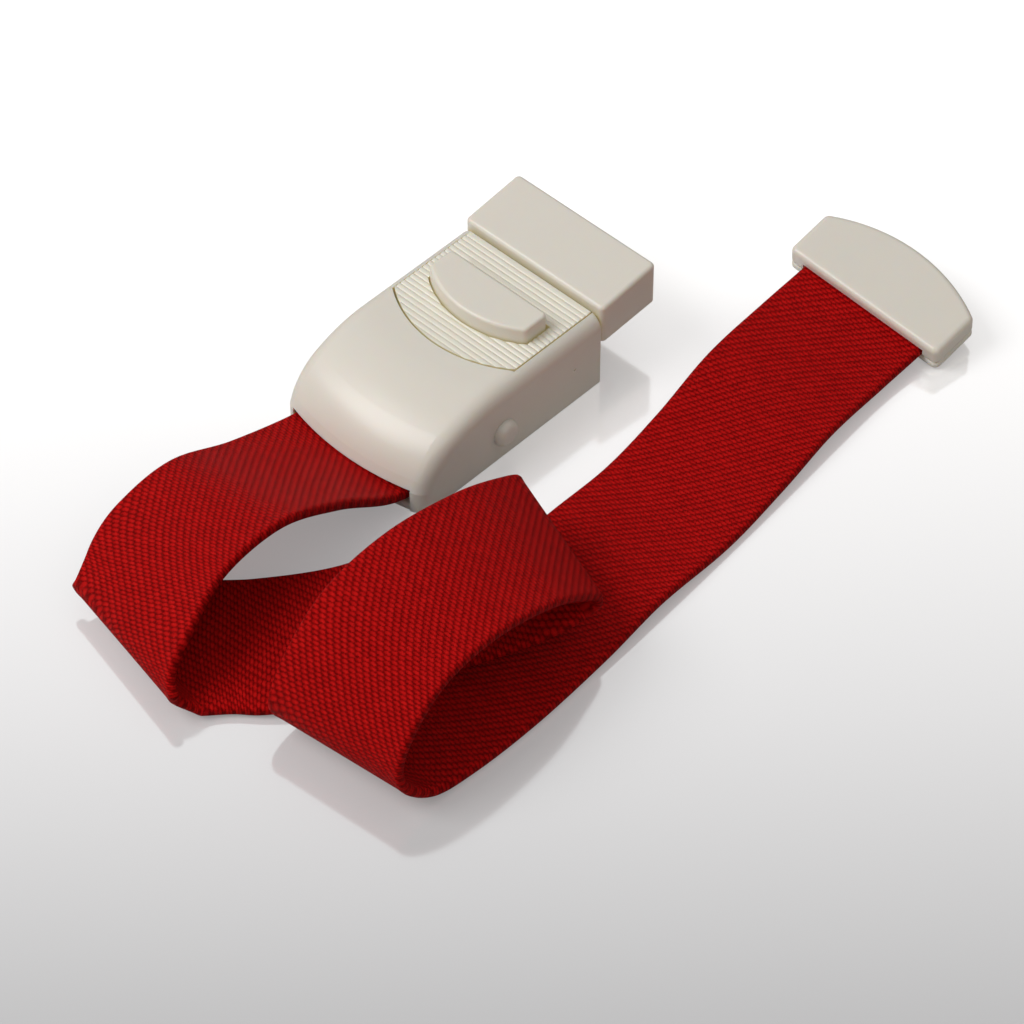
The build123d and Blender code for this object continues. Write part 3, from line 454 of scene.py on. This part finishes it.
# ---------------------------------------------------------------- stage
def build_floor():
    """A white sheet with a soft reflection, greyer towards the camera."""
    material, nodes, links, shader = new_material("floor")
    where = nodes.new("ShaderNodeNewGeometry")
    split = nodes.new("ShaderNodeSeparateXYZ")
    links.new(where.outputs["Position"], split.inputs[0])
    x_part = math_node(nodes, links, "MULTIPLY", split.outputs[0], cos(radians(CAMERA_HEADING)))
    y_part = math_node(nodes, links, "MULTIPLY", split.outputs[1], sin(radians(CAMERA_HEADING)))
    depth = math_node(nodes, links, "ADD", x_part, y_part)
    fade = math_node(nodes, links, "MULTIPLY", depth, FLOOR_FADE)
    fade = math_node(nodes, links, "ADD", fade, FLOOR_FADE_CENTRE)
    # painted light falloff: the floor's colour, and its glow to the camera, fade from white to grey
    # towards the camera
    stops = [(0.0, (0.33, 0.33, 0.335)), (0.35, (0.62, 0.62, 0.625)), (0.8, (0.95, 0.95, 0.95))]
    seen = ramp_node(nodes, links, fade, stops)
    # bright to the camera, darker for the light it throws back at the part
    path = nodes.new("ShaderNodeLightPath")
    colour_mix = nodes.new("ShaderNodeMix")
    colour_mix.data_type = "RGBA"
    colour_mix.inputs["A"].default_value = (*BOUNCE_COLOUR, 1)
    links.new(path.outputs["Is Camera Ray"], colour_mix.inputs["Factor"])
    links.new(seen, colour_mix.inputs["B"])
    colour = colour_mix.outputs["Result"]
    links.new(colour, shader.inputs["Base Color"])
    links.new(seen, shader.inputs["Emission Color"])
    glow = math_node(nodes, links, "MULTIPLY", path.outputs["Is Camera Ray"], FLOOR_GLOW)
    links.new(glow, shader.inputs["Emission Strength"])
    shader.inputs["Roughness"].default_value = 0.6
    shader.inputs["Specular IOR Level"].default_value = 0.0
    gloss = nodes.new("ShaderNodeBsdfGlossy")
    gloss.inputs["Roughness"].default_value = 0.1
    links.new(seen, gloss.inputs["Color"])
    mix = nodes.new("ShaderNodeMixShader")
    mix.inputs["Fac"].default_value = FLOOR_SHINE
    links.new(shader.outputs[0], mix.inputs[1])
    links.new(gloss.outputs[0], mix.inputs[2])
    links.new(mix.outputs[0], nodes["Material Output"].inputs["Surface"])
    bpy.ops.mesh.primitive_plane_add(size=FLOOR_SIZE * MM, location=(0, 0, -FLOOR_DROP * MM))
    floor = bpy.context.object
    floor.name = "floor"
    floor.data.materials.append(material)


def build_world():
    """White surroundings: brighter overhead than at the horizon, and brighter in reflections."""
    world = bpy.data.worlds.new("world")
    world.use_nodes = True
    nodes, links = world.node_tree.nodes, world.node_tree.links
    path = nodes.new("ShaderNodeLightPath")
    extra = math_node(nodes, links, "MULTIPLY", path.outputs["Is Glossy Ray"], WORLD_EXTRA_IN_REFLECTIONS)
    links.new(math_node(nodes, links, "ADD", extra, WORLD_STRENGTH), nodes["Background"].inputs[1])
    direction = nodes.new("ShaderNodeTexCoord")
    split = nodes.new("ShaderNodeSeparateXYZ")
    links.new(direction.outputs["Generated"], split.inputs[0])
    stops = [(0.0, (0.3, 0.26, 0.23)), (0.35, (0.5, 0.45, 0.41)), (0.8, (1.0, 1.0, 1.0))]
    links.new(ramp_node(nodes, links, split.outputs[2], stops), nodes["Background"].inputs[0])
    bpy.context.scene.world = world


def area_light(name, azimuth, elevation, distance, size, power, colour=(1, 1, 1)):
    """A soft light aimed at the part from a compass direction in the part's frame."""
    data = bpy.data.lights.new(name, "AREA")
    data.shape = "SQUARE"
    data.size = size
    data.energy = power
    data.color = colour
    light = bpy.data.objects.new(name, data)
    a, e = radians(azimuth), radians(elevation)
    away = Vector((cos(a) * cos(e), sin(a) * cos(e), sin(e)))
    light.location = Vector(LOOK_AT) * MM + away * distance
    light.rotation_euler = away.to_track_quat("Z", "Y").to_euler()
    bpy.context.scene.collection.objects.link(light)


def build_camera():
    """The camera, aimed at LOOK_AT from its heading and pitch."""
    data = bpy.data.cameras.new("camera")
    data.lens = CAMERA_LENS
    data.sensor_width = 36
    data.clip_start = 0.01
    camera = bpy.data.objects.new("camera", data)
    heading, pitch = radians(CAMERA_HEADING), radians(CAMERA_PITCH)
    away = Vector((-cos(heading) * cos(pitch), -sin(heading) * cos(pitch), sin(pitch)))
    camera.location = (Vector(LOOK_AT) + away * CAMERA_DISTANCE) * MM
    camera.rotation_euler = away.to_track_quat("Z", "Y").to_euler()
    bpy.context.scene.collection.objects.link(camera)
    bpy.context.scene.camera = camera


build_floor()
area_light("key", azimuth=141, elevation=48, distance=0.9, size=0.5, power=4.6)
area_light("fill", azimuth=235, elevation=30, distance=1.0, size=0.8, power=0.8, colour=WARM_WHITE)
build_world()
build_camera()
bpy.context.scene.view_settings.view_transform = "Standard"
